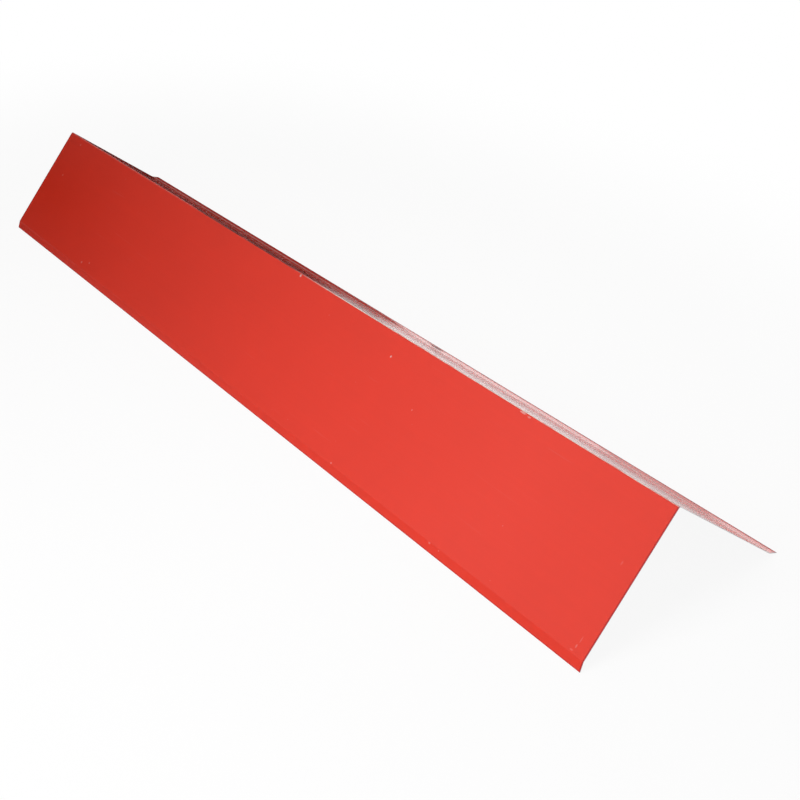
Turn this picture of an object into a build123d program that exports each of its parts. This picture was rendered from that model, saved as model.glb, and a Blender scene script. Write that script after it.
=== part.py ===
from build123d import *
from math import atan2, cos, degrees, radians, sin
import os

# Drip flashing folded from one strip of coated steel sheet.
# It stands like a tent on its two long edges, with the main fold uppermost.
# X runs along the fold, Y goes across it from the roof leg to the drip leg, and Z is up from the floor.

# Lengths in millimetres, measured on the coloured outer face from bend to bend
length = 1250.0
roof_leg = 150.0
drip_leg = 150.0
stiffening_lip = 10.0
drip_lip = 10.0
sheet_thickness = 0.5
inside_bend_radius = 1.5

# Angles in degrees. The fold has sprung open a little past a right angle.
fold_opening = 92.0
stiffening_lip_turn = 20.0
drip_lip_turn = 20.0

outside_bend_radius = inside_bend_radius + sheet_thickness


def step(angle, distance):
    """A move of the given distance, at an angle turned from straight down towards the drip leg."""
    return Vector(distance * sin(radians(angle)), -distance * cos(radians(angle)))


# Directions of the four flat runs, with the fold at the top and its opening straight down
roof_way = -fold_opening / 2
drip_way = fold_opening / 2
roof_lip_way = roof_way + stiffening_lip_turn
drip_lip_way = drip_way + drip_lip_turn

# Corners of the outer face, from the stiffening lip's edge over the fold to the drip lip's edge
fold = Vector(0, 0)
roof_bend = fold + step(roof_way, roof_leg)
roof_edge = roof_bend + step(roof_lip_way, stiffening_lip)
drip_bend = fold + step(drip_way, drip_leg)
drip_edge = drip_bend + step(drip_lip_way, drip_lip)

# The drip lip turns outwards, so there the outer face is on the inside of the bend
outer_line = FilletPolyline(
    roof_edge,
    roof_bend,
    fold,
    drip_bend,
    drip_edge,
    radius=[outside_bend_radius, outside_bend_radius, inside_bend_radius],
)
section = make_face(offset(outer_line, amount=sheet_thickness, side=Side.RIGHT, closed=True))

# The lower corners of the two cut edges carry the sheet, so the section leans until they are level
roof_foot = roof_edge + step(roof_lip_way + 90, sheet_thickness)
drip_foot = drip_edge + step(drip_lip_way - 90, sheet_thickness)
across = drip_foot - roof_foot
lean = -degrees(atan2(across.Y, across.X))
standing_section = Plane.YZ * Rot(0, 0, lean) * section

flashing = extrude(standing_section, amount=length / 2, both=True)

# The origin is at the middle of the footprint, on the floor
extent = flashing.bounding_box()
flashing = Pos(0, -extent.center().Y, -extent.min.Z) * flashing
flashing.label = "flashing"

os.makedirs("parts", exist_ok=True)
export_step(flashing, "parts/flashing.step")
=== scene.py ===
"""Looks for a length of drip flashing folded from coil-coated steel sheet.

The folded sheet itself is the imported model. This file gives it its finish, and sets the floor,
the lights and the camera round it.
"""

from math import radians

import bpy
from bpy.props import FloatProperty, FloatVectorProperty, PointerProperty
from bpy.types import NodeSocket, Operator, Panel, PropertyGroup
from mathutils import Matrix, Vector


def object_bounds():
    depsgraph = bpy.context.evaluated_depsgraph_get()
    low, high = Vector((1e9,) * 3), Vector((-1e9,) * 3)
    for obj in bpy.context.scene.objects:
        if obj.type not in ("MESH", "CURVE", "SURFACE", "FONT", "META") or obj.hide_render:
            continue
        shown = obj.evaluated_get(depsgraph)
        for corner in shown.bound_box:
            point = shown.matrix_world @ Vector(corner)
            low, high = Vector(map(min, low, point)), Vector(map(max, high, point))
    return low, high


bl_info = {
    "name": "Drip Flashing Finish",
    "version": (1, 0, 0),
    "blender": (4, 5, 0),
    "location": "View3D > Sidebar > Flashing",
    "description": "Finishes a folded length of coated steel drip flashing and sets its stage",
    "category": "Material",
}

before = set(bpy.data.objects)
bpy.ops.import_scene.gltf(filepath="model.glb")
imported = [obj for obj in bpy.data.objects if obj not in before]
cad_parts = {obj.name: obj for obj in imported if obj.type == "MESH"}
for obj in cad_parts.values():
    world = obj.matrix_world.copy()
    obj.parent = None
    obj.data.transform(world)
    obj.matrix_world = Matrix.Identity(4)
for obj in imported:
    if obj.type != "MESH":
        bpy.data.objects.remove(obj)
CAD_BOX = [list(corner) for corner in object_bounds()]
HALF_LENGTH, HALF_WIDTH, FOLD_HEIGHT = CAD_BOX[1]

# Ragged marks on the coated outside, in metres: place, reach along each axis, and how strong each shows
FOLD_NICKS = (
    ((0.0250, -0.0020, 0.1092), (0.0016, 0.0018, 0.0018), 0.60),
    ((0.4230, -0.0016, 0.1096), (0.0046, 0.0012, 0.0012), 0.36),
    ((0.4320, -0.0022, 0.1090), (0.0026, 0.0010, 0.0010), 0.22),
)
FACE_SPECKS = (
    ((0.2262, -0.0180, 0.0945), (0.0014, 0.0013, 0.0013), 0.45),
    ((0.2941, -0.0424, 0.0719), (0.0010, 0.0011, 0.0011), 0.16),
    ((-0.4098, -0.1048, 0.0141), (0.0022, 0.0016, 0.0016), 0.15),
    ((-0.3911, -0.1008, 0.0178), (0.0018, 0.0014, 0.0014), 0.14),
    ((-0.5825, -0.0072, 0.1045), (0.0020, 0.0016, 0.0016), 0.11),
    ((-0.5827, -0.0439, 0.0705), (0.0020, 0.0016, 0.0016), 0.10),
    ((0.2324, -0.1093, 0.0099), (0.0016, 0.0012, 0.0012), 0.16),
    ((0.4074, -0.1111, 0.0082), (0.0018, 0.0012, 0.0012), 0.18),
    ((0.4224, -0.1116, 0.0077), (0.0012, 0.0010, 0.0010), 0.16),
    ((0.6055, -0.0477, 0.0670), (0.0012, 0.0022, 0.0022), 0.05),
)
CORNER_SCRATCHES = (
    ((0.6115, -0.1000, 0.0183), (0.0007, 0.0034, 0.0034), 0.07),
    ((0.6105, -0.1050, 0.0138), (0.0009, 0.0020, 0.0020), 0.13),
    ((0.6080, -0.1085, 0.0105), (0.0022, 0.0009, 0.0009), 0.08),
)
DRIP_LIP_RUB = ((0.1110, 0.1105, 0.0026), (0.0150, 0.0028, 0.0020), 0.90)
CHIP_RAGGEDNESS = 0.45
RUB_RAGGEDNESS = 0.7

# Soft changes over the sheet, in metres: the place where each starts and the place where it is full,
# and for some the two strengths there, which otherwise are 0 and 1
FOLD_TOP = (FOLD_HEIGHT - 0.0033, FOLD_HEIGHT - 0.0023)
FOLD_BAND = ((-0.0009, -0.0003), (0.0026, 0.0014))
# Where the painted highlight along the fold's bend grows, and its strengths
FOLD_HIGHLIGHT_REACH = (0.01, 0.11, 0.0, 0.85)
# Where the painted shade along the fold's bend rises and falls, and its strengths
FOLD_PAINTED_SHADE = ((-0.28, -0.20, 0.0, 0.9), (0.04, -0.02))
# Where the painted highlight over the drip lip's bend lies, and its strengths
LIP_BEND = ((0.1040, 0.1048, 0.0, 0.5), (0.1082, 0.1066))
# Where the topcoat turns darker along the cut ends and the feet, and its strengths
END_LINE = (HALF_LENGTH - 0.0022, HALF_LENGTH - 0.0008, 0.0, 0.95)
FOOT_LINE = (0.0016, 0.0008, 0.0, 0.55)
LONG_EDGE_TOP = (0.00047, 0.00044)
LONG_EDGE_INNER = (HALF_WIDTH - 0.00049, HALF_WIDTH - 0.00046)

# How far a face looks up, along the fold or down, where each change starts and where it is full
FACES_UP = (0.02, 0.06)
FACES_ALONG = (0.6, 0.7)
FACES_DOWN = (-0.35, -0.42)

# Linear colours on the topcoat: settled dust, darker cut ends and feet, a painted highlight on the drip
# lip's bend and on the fold, dark rubs and painted shade on the fold, and chips
SETTLED_DUST = (0.72, 0.66, 0.62)
# Darker red along the cut ends and the feet
DARK_EDGE_PAINT = (0.44, 0.003, 0.003)
# A painted highlight on the drip lip's bend
LIP_BEND_HIGHLIGHT_PAINT = (0.84, 0.50, 0.46)
# A painted highlight on the fold's bend
FOLD_HIGHLIGHT_PAINT = (0.80, 0.81, 0.74)
# Dark for the rub on the drip lip, and as painted shade along the fold's bend
SHADE_AND_RUB_PAINT = (0.055, 0.008, 0.004)
CHIPPED_PAINT = (0.78, 0.74, 0.70)

# Share of the clear gloss on each finish, on the painted highlight, and on the dark rubs and painted shade
BACKING_GLOSS = 0.25
TOPCOAT_GLOSS = 0.85
SHADE_AND_RUB_GLOSS = 0.10
FOLD_HIGHLIGHT_GLOSS = 0.6

# Edges of the cards on the floor, in metres: along the fold, and then across it
CARDS_LEFT = -2.0
PALE_START = -0.010
ROSE_START = 0.365
ROSE_END = 0.520
PALE_END = HALF_LENGTH - 0.005
DRIP_FOOT = HALF_WIDTH + 0.0002
LEG_CARD_BACK = 0.121
TURN_CARD_BACK = 0.125
BEND_CARD_BACK = 0.140
PALE_BACK = 0.185
DARK_BACK = 0.220
ROOF_FOOT = -HALF_WIDTH - 0.0013

# Heights of the floor and the cards on it, in metres
FLOOR_LEVEL = -0.0002
CARD_LEVEL = 0.0004
UPPER_CARD_LEVEL = 0.0008
WALL_CARD_FOOT = -0.1

# Upright cards: name, the two ends of the foot, the top, and the light as gloss_card takes it
WALL_CARDS = (
    ("left_shade_card", (-2.0, 0.0), (-2.0, -2.8), 2.6, ((-2.0, -0.60, 0.52), 0.0, 2.05)),
    ("back_shade_card", (-2.0, 2.8), (-2.0, 0.0), 1.5, ((-2.0, 0.9, 0.10), 0.0, 2.2)),
    ("right_shade_card", (2.4, -2.4), (2.4, 2.4), 1.3, ((2.4, 0.0, 0.1), 0.20, 3.0)),
)
# Cards on the floor: name, left end in front and at the back, right end, front, back, level, light
FLOOR_CARDS = (
    ("far_dark_card", CARDS_LEFT, CARDS_LEFT, PALE_START, DRIP_FOOT, DARK_BACK, CARD_LEVEL, 0.0),
    ("end_dark_card", CARDS_LEFT, CARDS_LEFT, -HALF_LENGTH - 0.002, -0.060, DRIP_FOOT, CARD_LEVEL, 0.0),
    ("leg_card", -0.075, -0.175, PALE_END, DRIP_FOOT, LEG_CARD_BACK, UPPER_CARD_LEVEL, 0.40),
    ("turn_card", -0.160, PALE_START, PALE_END, LEG_CARD_BACK, TURN_CARD_BACK, UPPER_CARD_LEVEL, 1.5),
    ("bend_card", PALE_START, PALE_START, PALE_END, TURN_CARD_BACK, BEND_CARD_BACK, CARD_LEVEL, 1.25),
    ("middle_white_card", PALE_START, PALE_START, ROSE_START, BEND_CARD_BACK, PALE_BACK, CARD_LEVEL, 2.9),
    ("rose_card", ROSE_START, ROSE_START, ROSE_END, BEND_CARD_BACK, PALE_BACK, CARD_LEVEL, 1.45),
    ("near_white_card", ROSE_END, ROSE_END, PALE_END, BEND_CARD_BACK, PALE_BACK, CARD_LEVEL, 2.8),
    (
        "roof_side_card", CARDS_LEFT, CARDS_LEFT, HALF_LENGTH - 0.025, -1.6, ROOF_FOOT, CARD_LEVEL,
        ((-0.84, -0.25, 0.0), 0.0, 2.6),
    ),
)

# Square soft boxes: place, what each is turned to, and side, in metres
KEY_BOX = ((0.44, -0.92, 1.00), (0.39, -0.055, 0.06), 0.8)
FILL_BOX = ((0.30, 1.60, 1.60), (0.1, 0.05, 0.05), 1.4)

# The photo's camera, fitted to the sheet's corners and edges: metres, degrees and millimetres
CAMERA_PLACE = (1.3206, -0.6549, 0.8284)
CAMERA_TURN = (57.882, 6.786, 55.428)
SENSOR_WIDTH = 36.0


def paint(default, name, description):
    """A linear colour setting."""
    return FloatVectorProperty(
        name=name, description=description, subtype="COLOR", size=3, min=0.0, max=1.0, default=default
    )


class FlashingFinish(PropertyGroup):
    topcoat: paint((0.79, 0.030, 0.0095), "Topcoat", "Polyester paint on the weather side of the sheet")
    backing: paint((0.46, 0.465, 0.46), "Backing coat", "Thin paint on the inside of the sheet")
    zinc: paint((0.62, 0.63, 0.64), "Zinc", "Bare metal on the cut edges")
    topcoat_roughness: FloatProperty(
        name="Topcoat roughness", description="Satin gloss of the weather side",
        default=0.36, min=0.0, max=1.0,
    )
    backing_roughness: FloatProperty(
        name="Backing roughness", description="Dull gloss of the inside",
        default=0.5, min=0.0, max=1.0,
    )
    zinc_roughness: FloatProperty(
        name="Zinc roughness", description="Sheared metal on the cut edges",
        default=0.42, min=0.0, max=1.0,
    )
    orange_peel: FloatProperty(
        name="Orange peel", description="Height of the fine ripple in the paint",
        default=0.0000004, min=0.0, max=0.001, unit="LENGTH", precision=6,
    )
    waviness: FloatProperty(
        name="Waviness", description="Height of the long waves in the thin sheet",
        default=0.00012, min=0.0, max=0.01, unit="LENGTH", precision=5,
    )


class FlashingStage(PropertyGroup):
    floor_width: FloatProperty(
        name="Floor width", description="Side of the pale floor",
        default=24.0, min=1.0, unit="LENGTH",
    )
    key_power: FloatProperty(
        name="Key power", description="Soft box before the roof leg",
        default=13.0, min=0.0, subtype="POWER",
    )
    fill_power: FloatProperty(
        name="Fill power", description="Soft box behind the drip leg",
        default=10.0, min=0.0, subtype="POWER",
    )
    ambient: FloatProperty(
        name="Ambient", description="Even light from the room",
        default=0.205, min=0.0, max=1.0,
    )
    lens: FloatProperty(
        name="Lens", description="Focal length on a 36 mm sensor",
        default=64.6, min=1.0, subtype="DISTANCE_CAMERA",
    )


def add_node(tree, kind, x, y, **settings):
    """A node of the kind at a place in the editor, with its own settings."""
    node = tree.nodes.new(kind)
    node.location = (x, y)
    for name, value in settings.items():
        setattr(node, name, value)
    return node


def join(tree, start, end):
    """A link from an output to an input."""
    tree.links.new(start, end)


def set_inputs(node, **values):
    """Values for the sockets of a node, with spaces in their names written as underscores."""
    for name, value in values.items():
        node.inputs[name.replace("_", " ")].default_value = value


def feed(tree, socket, value):
    """What a socket gets: a link from another socket, a plain number, or a plain colour."""
    if isinstance(value, NodeSocket):
        join(tree, value, socket)
    elif isinstance(value, (int, float)):
        socket.default_value = value
    else:
        socket.default_value = (*value, 1.0)


def maths(tree, kind, x, y, first, second=0.0, clamp=False):
    """A Math node fed by sockets or plain numbers; it hands back its output."""
    node = add_node(tree, "ShaderNodeMath", x, y, operation=kind, use_clamp=clamp)
    feed(tree, node.inputs[0], first)
    feed(tree, node.inputs[1], second)
    return node.outputs[0]


def ramp(tree, x, y, value, low, high, out_low=0.0, out_high=1.0):
    """A smooth change from one place to another, in either direction, of what is fed in."""
    node = add_node(tree, "ShaderNodeMapRange", x, y, interpolation_type="SMOOTHSTEP")
    set_inputs(node, From_Min=low, From_Max=high, To_Min=out_low, To_Max=out_high)
    join(tree, value, node.inputs["Value"])
    return node.outputs["Result"]


def band(tree, x, y, value, rise, fall):
    """A stretch between two soft changes: full inside it, and 0 past both."""
    risen = ramp(tree, x, y, value, *rise)
    not_fallen = ramp(tree, x, y + 150, value, *fall)
    return maths(tree, "MULTIPLY", x + 200, y, risen, not_fallen)


def blend_colour(tree, x, y, share, first, second):
    """A mix of two colours, from sockets or plain."""
    node = add_node(tree, "ShaderNodeMix", x, y, data_type="RGBA")
    feed(tree, node.inputs[0], share)
    feed(tree, node.inputs[6], first)
    feed(tree, node.inputs[7], second)
    return node.outputs[2]


def blend_value(tree, x, y, share, first, second):
    """A mix of two numbers, from sockets or plain."""
    node = add_node(tree, "ShaderNodeMix", x, y, data_type="FLOAT")
    feed(tree, node.inputs[0], share)
    feed(tree, node.inputs[2], first)
    feed(tree, node.inputs[3], second)
    return node.outputs[0]


def noise(tree, x, y, place, scale, detail, roughness):
    """A cloudy pattern from 0 to 1."""
    node = add_node(tree, "ShaderNodeTexNoise", x, y)
    set_inputs(node, Scale=scale, Detail=detail, Roughness=roughness)
    join(tree, place, node.inputs["Vector"])
    return node.outputs["Fac"]


def drawn_out(tree, x, y, place, scale, turn=0.0):
    """The place scaled along each axis, where a low scale draws a pattern out, and then turned about Z."""
    node = add_node(tree, "ShaderNodeMapping", x, y)
    set_inputs(node, Rotation=(0.0, 0.0, radians(turn)), Scale=scale)
    join(tree, place, node.inputs["Vector"])
    return node.outputs[0]


def swing(tree, x, y, pattern, amount):
    """A pattern swung about its middle value of a half, times an amount."""
    centred = maths(tree, "SUBTRACT", x, y, pattern, 0.5)
    return maths(tree, "MULTIPLY", x + 180, y, centred, amount)


def bump(tree, x, y, height, distance, normal=None):
    """The normal of a surface that a pattern raises by up to a distance in metres."""
    node = add_node(tree, "ShaderNodeBump", x, y)
    set_inputs(node, Strength=1.0, Distance=distance)
    join(tree, height, node.inputs["Height"])
    if normal is not None:
        join(tree, normal, node.inputs["Normal"])
    return node.outputs[0]


def new_material(name):
    """An empty material and its node tree."""
    material = bpy.data.materials.new(name)
    material.use_nodes = True
    material.node_tree.nodes.clear()
    return material, material.node_tree


def new_group(name, inputs, outputs):
    """An empty node group. Each input is given as (name, kind, default), and each output as (name, kind)."""
    group = bpy.data.node_groups.new(name, "ShaderNodeTree")
    for label, kind, default in inputs:
        socket = group.interface.new_socket(label, in_out="INPUT", socket_type=kind)
        if default is not None:
            socket.default_value = default
    for label, kind in outputs:
        group.interface.new_socket(label, in_out="OUTPUT", socket_type=kind)
    entry = add_node(group, "NodeGroupInput", -1400, 0)
    leave = add_node(group, "NodeGroupOutput", 900, 0)
    return group, entry, leave


def place_group(tree, group, x, y, place, **values):
    """A node group placed in a material, with its own values and the place on the sheet."""
    node = add_node(tree, "ShaderNodeGroup", x, y, node_tree=group)
    set_inputs(node, **values)
    join(tree, place, node.inputs["Vector"])
    return node


def ragged_mark_group():
    """A ragged mark at a place on the sheet: up to its strength where the paint is gone, pale or dark."""
    group, entry, leave = new_group(
        "Ragged Mark",
        (
            ("Vector", "NodeSocketVector", None),
            ("Place", "NodeSocketVector", None),
            ("Reach", "NodeSocketVector", (0.002, 0.002, 0.002)),
            ("Raggedness", "NodeSocketFloat", 0.5),
            ("Strength", "NodeSocketFloat", 1.0),
        ),
        (("Mask", "NodeSocketFloat"),),
    )
    away = add_node(group, "ShaderNodeVectorMath", -1100, 200, operation="SUBTRACT")
    join(group, entry.outputs["Vector"], away.inputs[0])
    join(group, entry.outputs["Place"], away.inputs[1])
    scaled = add_node(group, "ShaderNodeVectorMath", -900, 200, operation="DIVIDE")
    join(group, away.outputs[0], scaled.inputs[0])
    join(group, entry.outputs["Reach"], scaled.inputs[1])
    far = add_node(group, "ShaderNodeVectorMath", -700, 200, operation="LENGTH")
    join(group, scaled.outputs[0], far.inputs[0])

    # The mark is full to half its reach and gone just past it, with an edge that the noise tears
    torn = noise(group, -900, -100, entry.outputs["Vector"], scale=900.0, detail=3.0, roughness=0.6)
    torn = swing(group, -700, -100, torn, entry.outputs["Raggedness"])
    torn = maths(group, "MULTIPLY", -320, -100, torn, 3.0)
    edge = maths(group, "ADD", -150, 100, far.outputs["Value"], torn)
    inside = ramp(group, 100, 100, edge, 1.15, 0.5)
    join(group, maths(group, "MULTIPLY", 400, 100, inside, entry.outputs["Strength"]), leave.inputs["Mask"])
    return group


def rolled_coat_group():
    """Paint put on a moving strip: streaks along it, soft patches, scuffs, dust and a fine ripple."""
    group, entry, leave = new_group(
        "Rolled Coat",
        (
            ("Vector", "NodeSocketVector", None),
            ("Colour", "NodeSocketColor", (0.5, 0.5, 0.5, 1.0)),
            ("Roughness", "NodeSocketFloat", 0.4),
            ("Patchiness", "NodeSocketFloat", 0.06),
            ("Streaks", "NodeSocketFloat", 0.04),
            ("Dust", "NodeSocketFloat", 0.1),
            ("Scuffs", "NodeSocketFloat", 0.1),
        ),
        (
            ("Colour", "NodeSocketColor"),
            ("Roughness", "NodeSocketFloat"),
            ("Ripple", "NodeSocketFloat"),
        ),
    )
    place = entry.outputs["Vector"]

    # Soft patches a hand wide, and streaks that run with the strip
    patch = noise(group, -1000, 500, place, scale=7.0, detail=4.0, roughness=0.55)
    patch_swing = swing(group, -800, 500, patch, entry.outputs["Patchiness"])
    strands = drawn_out(group, -1200, 200, place, (2.0, 260.0, 260.0))
    streak = noise(group, -1000, 200, strands, scale=1.0, detail=3.0, roughness=0.6)
    streak_swing = swing(group, -800, 200, streak, entry.outputs["Streaks"])
    tone = maths(group, "ADD", -440, 350, patch_swing, streak_swing)
    toned = add_node(group, "ShaderNodeVectorMath", -80, 400, operation="SCALE")
    join(group, entry.outputs["Colour"], toned.inputs[0])
    join(group, maths(group, "ADD", -260, 350, tone, 1.0), toned.inputs["Scale"])

    # Dust: a few pale grains that have settled
    grains = add_node(group, "ShaderNodeTexVoronoi", -1000, -100, feature="F1")
    set_inputs(grains, Scale=95.0, Randomness=1.0)
    join(group, place, grains.inputs["Vector"])
    chosen = add_node(group, "ShaderNodeSeparateColor", -800, -200)
    join(group, grains.outputs["Color"], chosen.inputs[0])
    rare = ramp(group, -600, -200, chosen.outputs[0], 0.93, 0.97)
    small = ramp(group, -600, -40, grains.outputs["Distance"], 0.075, 0.045)
    dust = maths(group, "MULTIPLY", -400, -100, rare, small)
    dust = maths(group, "MULTIPLY", -220, -100, dust, entry.outputs["Dust"])

    # Scuffs: two sets of short hairlines from handling, along the strip and only in some patches
    hairlines = []
    for turn, y in ((28.0, -420), (-62.0, -640)):
        strands = drawn_out(group, -1200, y, place, (14.0, 420.0, 420.0), turn)
        hair = noise(group, -1000, y, strands, scale=1.0, detail=1.0, roughness=0.4)
        hairlines.append(ramp(group, -800, y, hair, 0.70, 0.78))
    scuff = maths(group, "MAXIMUM", -600, -500, *hairlines)
    handled = ramp(group, -600, -700, patch, 0.48, 0.66)
    scuff = maths(group, "MULTIPLY", -420, -560, scuff, handled)
    scuff = maths(group, "MULTIPLY", -240, -560, scuff, entry.outputs["Scuffs"])

    pale = maths(group, "ADD", 0, -200, dust, scuff, clamp=True)
    join(group, blend_colour(group, 300, 300, pale, toned.outputs[0], SETTLED_DUST), leave.inputs["Colour"])

    # Paler patches and streaks are duller, and so are dust and scuffs
    rough = maths(group, "MULTIPLY", 100, 0, tone, 1.6)
    rough = maths(group, "ADD", 280, 0, rough, entry.outputs["Roughness"])
    rough = maths(group, "ADD", 460, 0, rough, maths(group, "MULTIPLY", 280, -160, pale, 0.2), clamp=True)
    join(group, rough, leave.inputs["Roughness"])

    peel = noise(group, -200, -900, place, scale=520.0, detail=2.0, roughness=0.5)
    join(group, peel, leave.inputs["Ripple"])
    return group


def ragged_marks(tree, group, y, place, raggedness, marks):
    """The strongest of several ragged marks at each point."""
    strongest = 0.0
    for middle, reach, strength in marks:
        mark = place_group(
            tree, group, -1700, y, place, Place=middle, Reach=reach, Raggedness=raggedness, Strength=strength
        )
        strongest = maths(tree, "MAXIMUM", -1480, y, mark.outputs["Mask"], strongest)
        y -= 120
    return strongest


def cut_edges(tree, spot, direction):
    """1 on the two cut ends, and on the long cut edges, the last half millimetre above the floor."""
    along = maths(tree, "ABSOLUTE", -2180, -520, direction.outputs["X"])
    end = ramp(tree, -2000, -500, along, *FACES_ALONG)
    low = ramp(tree, -2000, 100, spot.outputs["Z"], *LONG_EDGE_TOP)
    out = ramp(tree, -2000, 300, maths(tree, "ABSOLUTE", -2180, 320, spot.outputs["Y"]), *LONG_EDGE_INNER)
    down = ramp(tree, -2000, -700, direction.outputs["Z"], *FACES_DOWN)
    long_edge = maths(tree, "MULTIPLY", -1800, 200, low, out)
    long_edge = maths(tree, "MULTIPLY", -1640, 100, long_edge, down)
    return maths(tree, "MAXIMUM", -1460, 0, end, long_edge)


def fold_line(tree, spot, place, outside):
    """The drip side of the main fold: a painted highlight, pale towards the right, and painted shade, dark
    before it.
    """
    line = band(tree, -2000, 2150, spot.outputs["Y"], *FOLD_BAND)
    high = ramp(tree, -2000, 2000, spot.outputs["Z"], *FOLD_TOP)
    line = maths(tree, "MULTIPLY", -1640, 2200, line, high)
    line = maths(tree, "MULTIPLY", -1480, 2150, line, outside)
    broken = noise(tree, -2000, 2500, place, scale=34.0, detail=4.0, roughness=0.6)
    broken = ramp(tree, -1800, 2500, broken, 0.34, 0.56, 0.45, 1.0)
    line = maths(tree, "MULTIPLY", -1320, 2200, line, broken)
    pale = ramp(tree, -1640, 2700, spot.outputs["X"], *FOLD_HIGHLIGHT_REACH)
    dark = band(tree, -1640, 2900, spot.outputs["X"], *FOLD_PAINTED_SHADE)
    return (
        maths(tree, "MULTIPLY", -1160, 2300, line, pale),
        maths(tree, "MULTIPLY", -1160, 2500, line, dark),
    )


def edge_lines(tree, spot, outside):
    """Topcoat darker along the cut ends and the feet, and a painted highlight over the drip lip's bend."""
    end_line = ramp(tree, -1000, 1100, maths(tree, "ABSOLUTE", -1180, 1100, spot.outputs["X"]), *END_LINE)
    foot_line = ramp(tree, -1000, 1250, spot.outputs["Z"], *FOOT_LINE)
    thin = maths(tree, "MAXIMUM", -820, 1180, end_line, foot_line)
    bend = band(tree, -1000, 1400, spot.outputs["Y"], *LIP_BEND)
    return (
        maths(tree, "MULTIPLY", -640, 1150, thin, outside),
        maths(tree, "MULTIPLY", -640, 1400, bend, outside),
    )


def coated_sheet_material(finish):
    """Red topcoat outside, grey backing coat inside, and zinc on the cut edges."""
    material, tree = new_material("Coated Sheet")
    mark_group = ragged_mark_group()
    coat_group = rolled_coat_group()

    where = add_node(tree, "ShaderNodeTexCoord", -2400, 0)
    place = where.outputs["Object"]
    direction = add_node(tree, "ShaderNodeSeparateXYZ", -2200, -300)
    join(tree, where.outputs["Normal"], direction.inputs[0])
    spot = add_node(tree, "ShaderNodeSeparateXYZ", -2200, 300)
    join(tree, place, spot.inputs[0])

    # The topcoat is on every face that looks up
    outside = ramp(tree, -2000, -300, direction.outputs["Z"], *FACES_UP)
    bare = cut_edges(tree, spot, direction)
    chips = (*FOLD_NICKS, *FACE_SPECKS, *CORNER_SCRATCHES)
    chipped = ragged_marks(tree, mark_group, 1500, place, CHIP_RAGGEDNESS, chips)
    chipped = maths(tree, "MULTIPLY", -1200, 700, chipped, outside)
    # A painted highlight and a painted shade along the drip side of the fold's bend
    painted_highlight, painted_shade_and_rub = fold_line(tree, spot, place, outside)
    rubbed = ragged_marks(tree, mark_group, 1700, place, RUB_RAGGEDNESS, (DRIP_LIP_RUB,))
    # The rub on the drip lip takes the same dark colour and low gloss as the painted shade
    painted_shade_and_rub = maths(tree, "MAXIMUM", -1000, 900, painted_shade_and_rub, rubbed)
    # Darker along the cut ends and feet, and a painted highlight over the drip lip's bend
    thin, lip_bend_highlight = edge_lines(tree, spot, outside)

    top = place_group(
        tree, coat_group, -1200, 400, place,
        Colour=(*finish.topcoat, 1.0), Roughness=finish.topcoat_roughness,
        Patchiness=0.10, Streaks=0.04, Dust=0.10, Scuffs=0.02,
    )
    back = place_group(
        tree, coat_group, -1200, -100, place,
        Colour=(*finish.backing, 1.0), Roughness=finish.backing_roughness,
        Patchiness=0.16, Streaks=0.22, Dust=0.2, Scuffs=0.25,
    )

    colour = blend_colour(tree, -800, 300, outside, back.outputs["Colour"], top.outputs["Colour"])
    # Over the coat: darker cut ends and feet, painted highlights on the drip lip's bend and on the fold,
    # dark rubs and painted shade on the fold, chips and bare zinc
    for x, share, worn in (
        (-780, thin, DARK_EDGE_PAINT),
        (-720, lip_bend_highlight, LIP_BEND_HIGHLIGHT_PAINT),
        (-660, painted_highlight, FOLD_HIGHLIGHT_PAINT),
        (-600, painted_shade_and_rub, SHADE_AND_RUB_PAINT),
        (-540, chipped, CHIPPED_PAINT),
        (-480, bare, finish.zinc),
    ):
        colour = blend_colour(tree, x, 600, share, colour, worn)
    rough = blend_value(tree, -800, 0, outside, back.outputs["Roughness"], top.outputs["Roughness"])
    rough = blend_value(tree, -600, 0, bare, rough, finish.zinc_roughness)
    gloss = blend_value(tree, -760, -100, outside, BACKING_GLOSS, TOPCOAT_GLOSS)
    # Little clear gloss on the painted shade and rubs, less on the painted highlight, and none on bare zinc
    for x, share, level in ((-600, painted_shade_and_rub, SHADE_AND_RUB_GLOSS), (-500, painted_highlight, FOLD_HIGHLIGHT_GLOSS), (-400, bare, 0.0)):
        gloss = blend_value(tree, x, -100, share, gloss, level)

    # The fine ripple of the cured paint lies on the long waves of the thin sheet
    long_waves = drawn_out(tree, -1200, -600, place, (5.0, 22.0, 22.0))
    waves = noise(tree, -1000, -600, long_waves, scale=1.0, detail=1.0, roughness=0.4)
    ripple = bump(tree, -600, -300, top.outputs["Ripple"], finish.orange_peel)
    normal = bump(tree, -400, -400, waves, finish.waviness, ripple)

    shader = add_node(tree, "ShaderNodeBsdfPrincipled", -100, 200)
    set_inputs(shader, IOR=1.5, Specular_IOR_Level=0.03, Coat_Roughness=0.09, Coat_IOR=1.5)
    for socket, source in (
        ("Base Color", colour),
        ("Roughness", rough),
        ("Metallic", bare),
        ("Coat Weight", gloss),
        ("Normal", normal),
    ):
        join(tree, source, shader.inputs[socket])
    result = add_node(tree, "ShaderNodeOutputMaterial", 250, 200)
    join(tree, shader.outputs[0], result.inputs["Surface"])
    return material


def plainly_seen(tree, x, y):
    """1 for what the camera, gloss and glass see, and 0 for light that falls on things."""
    ray = add_node(tree, "ShaderNodeLightPath", x, y)
    seen = maths(tree, "MAXIMUM", x + 200, y, ray.outputs["Is Camera Ray"], ray.outputs["Is Glossy Ray"])
    return maths(tree, "MAXIMUM", x + 380, y, seen, ray.outputs["Is Transmission Ray"])


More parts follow.
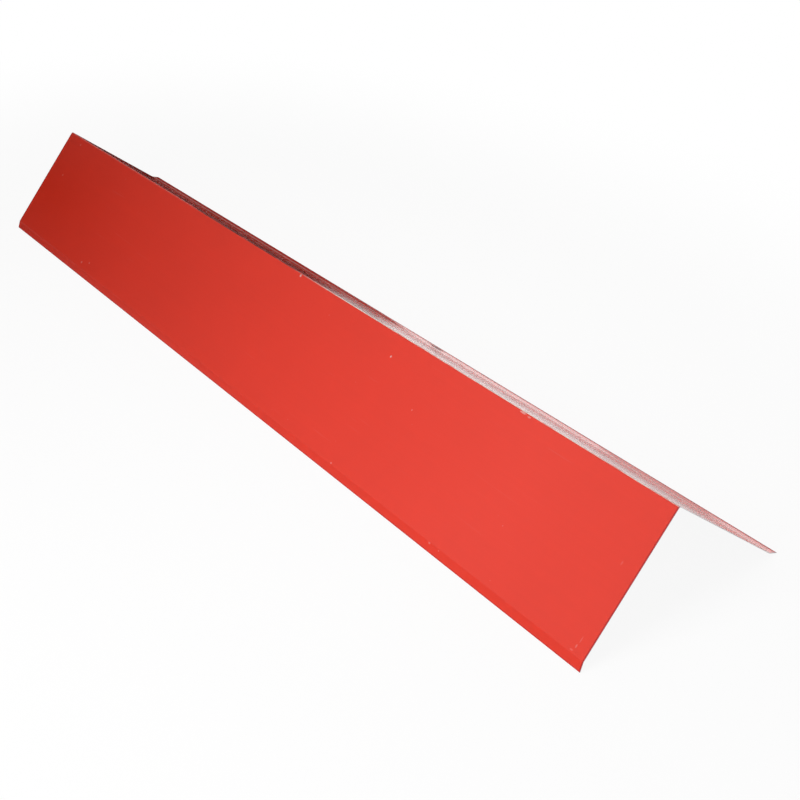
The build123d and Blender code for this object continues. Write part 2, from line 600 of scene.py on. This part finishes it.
def floor_material():
    """A pale floor that shows white to the camera and in gloss, and keeps the object's shadow near it."""
    material, tree = new_material("Pale Floor")
    seen = plainly_seen(tree, -900, 300)
    # In an oval round the part a small share of the plain floor shows, which takes the shadow
    where = add_node(tree, "ShaderNodeTexCoord", -1000, 0)
    oval = drawn_out(tree, -800, 0, where.outputs["Object"], (1.0, 2.0, 1.0))
    away = add_node(tree, "ShaderNodeVectorMath", -620, 0, operation="LENGTH")
    join(tree, oval, away.inputs[0])
    white_share = ramp(tree, -460, 0, away.outputs["Value"], 0.7, 1.5, 0.92, 1.0)
    plain = add_node(tree, "ShaderNodeBsdfDiffuse", -300, 0)
    set_inputs(plain, Color=(0.86, 0.86, 0.86, 1.0))
    white = add_node(tree, "ShaderNodeEmission", -300, -160)
    mix = add_node(tree, "ShaderNodeMixShader", 0, 100)
    share = maths(tree, "MULTIPLY", -300, 200, seen, white_share)
    join(tree, share, mix.inputs[0])
    join(tree, plain.outputs[0], mix.inputs[1])
    join(tree, white.outputs[0], mix.inputs[2])
    result = add_node(tree, "ShaderNodeOutputMaterial", 200, 100)
    join(tree, mix.outputs[0], result.inputs["Surface"])
    return material


def room_light(stage):
    """Even light from the room, which the camera, gloss and glass see as white."""
    world = bpy.data.worlds.new("White Room")
    bpy.context.scene.world = world
    world.use_nodes = True
    tree = world.node_tree
    tree.nodes.clear()
    power = blend_value(tree, -140, 0, plainly_seen(tree, -700, 0), stage.ambient, 1.0)
    light = add_node(tree, "ShaderNodeBackground", 60, 0)
    set_inputs(light, Color=(1.0, 1.0, 1.0, 1.0))
    join(tree, power, light.inputs["Strength"])
    result = add_node(tree, "ShaderNodeOutputWorld", 260, 0)
    join(tree, light.outputs[0], result.inputs["Surface"])


def gloss_card(name, corners, light):
    """A flat card that only gloss sees.

    Its light is one number, or (middle, dark, reach): dark at the middle, growing evenly to 1 at the reach.
    """
    bpy.ops.object.select_all(action="DESELECT")
    bpy.ops.mesh.primitive_plane_add(size=2.0)
    card = bpy.context.object
    card.name = name
    for vertex, corner in zip(card.data.vertices, corners):
        vertex.co = corner
    material, tree = new_material(name + "_light")
    glow = add_node(tree, "ShaderNodeEmission", -300, 0)
    if isinstance(light, (int, float)):
        set_inputs(glow, Strength=light)
    else:
        middle, dark, reach = light
        where = add_node(tree, "ShaderNodeTexCoord", -900, 0)
        away = add_node(tree, "ShaderNodeVectorMath", -700, 0, operation="DISTANCE")
        join(tree, where.outputs["Object"], away.inputs[0])
        away.inputs[1].default_value = middle
        grow = add_node(tree, "ShaderNodeMapRange", -500, 0)
        set_inputs(grow, From_Max=reach, To_Min=dark)
        join(tree, away.outputs["Value"], grow.inputs["Value"])
        join(tree, grow.outputs["Result"], glow.inputs["Strength"])
    result = add_node(tree, "ShaderNodeOutputMaterial", -100, 0)
    join(tree, glow.outputs[0], result.inputs["Surface"])
    card.data.materials.append(material)
    card.visible_camera = False
    card.visible_diffuse = False
    card.visible_shadow = False
    card.visible_transmission = False
    card.visible_volume_scatter = False


def wall_card(name, start, end, top, light):
    """An upright card over a line on the floor, from below the floor to its top."""
    gloss_card(name, [(*foot, height) for height in (WALL_CARD_FOOT, top) for foot in (start, end)], light)


def floor_card(name, front_left, back_left, right, front, back, level, light):
    """A card on the floor, whose left edge may slant."""
    corners = []
    for left, y in ((front_left, front), (back_left, back)):
        corners += [(left, y, level), (right, y, level)]
    gloss_card(name, corners, light)


def soft_box(name, place, aim, side, power):
    """A square soft light at a place, turned to what it lights."""
    bpy.ops.object.light_add(type="AREA", location=place)
    lamp = bpy.context.object
    lamp.name = name
    lamp.rotation_euler = (Vector(aim) - Vector(place)).to_track_quat("-Z", "Y").to_euler()
    lamp.data.shape = "SQUARE"
    lamp.data.size = side
    lamp.data.energy = power
    lamp.visible_camera = False


def photo_camera(scene, lens):
    """The camera at the photo's angle."""
    bpy.ops.object.camera_add(location=CAMERA_PLACE, rotation=[radians(turn) for turn in CAMERA_TURN])
    camera = bpy.context.object
    camera.name = "Photo Camera"
    camera.data.sensor_width = SENSOR_WIDTH
    camera.data.lens = lens
    camera.data.clip_start = 0.05
    camera.data.clip_end = 60.0
    scene.camera = camera


class OBJECT_OT_finish_flashing(Operator):
    """Gives the folded sheet its red topcoat, grey backing coat and bare cut edges"""

    bl_idname = "object.finish_drip_flashing"
    bl_label = "Finish Drip Flashing"
    bl_options = {"REGISTER", "UNDO"}

    def execute(self, context):
        sheet = bpy.data.objects.get("flashing")
        if sheet is None:
            raise RuntimeError("the folded sheet isn't in the scene")
        material = coated_sheet_material(context.scene.flashing_finish)
        for face_slot in sheet.material_slots:
            face_slot.material = material
        return {"FINISHED"}


class SCENE_OT_set_stage(Operator):
    """Lays the pale floor, hangs the soft boxes and stands the camera"""

    bl_idname = "scene.set_flashing_stage"
    bl_label = "Set Flashing Stage"
    bl_options = {"REGISTER", "UNDO"}

    def execute(self, context):
        stage = context.scene.flashing_stage
        bpy.ops.object.select_all(action="DESELECT")
        bpy.ops.mesh.primitive_plane_add(size=stage.floor_width, location=(0.0, 0.0, FLOOR_LEVEL))
        floor = context.object
        floor.name = "pale_floor"
        floor.data.materials.append(floor_material())

        for card in WALL_CARDS:
            wall_card(*card)
        for card in FLOOR_CARDS:
            floor_card(*card)
        room_light(stage)
        soft_box("Key Soft Box", *KEY_BOX, stage.key_power)
        soft_box("Fill Soft Box", *FILL_BOX, stage.fill_power)
        photo_camera(context.scene, stage.lens)
        context.scene.view_settings.view_transform = "Standard"
        return {"FINISHED"}


class VIEW3D_PT_flashing(Panel):
    """Lists the settings of the sheet and of the stage, each with its operator"""

    bl_label = "Drip Flashing"
    bl_idname = "VIEW3D_PT_flashing"
    bl_space_type = "VIEW_3D"
    bl_region_type = "UI"
    bl_category = "Flashing"

    def draw(self, context):
        scene = context.scene
        for label, settings, operator in (
            ("Sheet", scene.flashing_finish, OBJECT_OT_finish_flashing),
            ("Stage", scene.flashing_stage, SCENE_OT_set_stage),
        ):
            box = self.layout.box()
            box.label(text=label)
            for name in settings.__annotations__:
                box.prop(settings, name)
            box.operator(operator.bl_idname)


CLASSES = (FlashingFinish, FlashingStage, OBJECT_OT_finish_flashing, SCENE_OT_set_stage, VIEW3D_PT_flashing)


def register():
    for cls in CLASSES:
        bpy.utils.register_class(cls)
    bpy.types.Scene.flashing_finish = PointerProperty(type=FlashingFinish)
    bpy.types.Scene.flashing_stage = PointerProperty(type=FlashingStage)


def unregister():
    del bpy.types.Scene.flashing_stage
    del bpy.types.Scene.flashing_finish
    for cls in reversed(CLASSES):
        bpy.utils.unregister_class(cls)


def main():
    register()
    bpy.ops.object.finish_drip_flashing()
    bpy.ops.scene.set_flashing_stage()


if __name__ == "__main__":
    main()
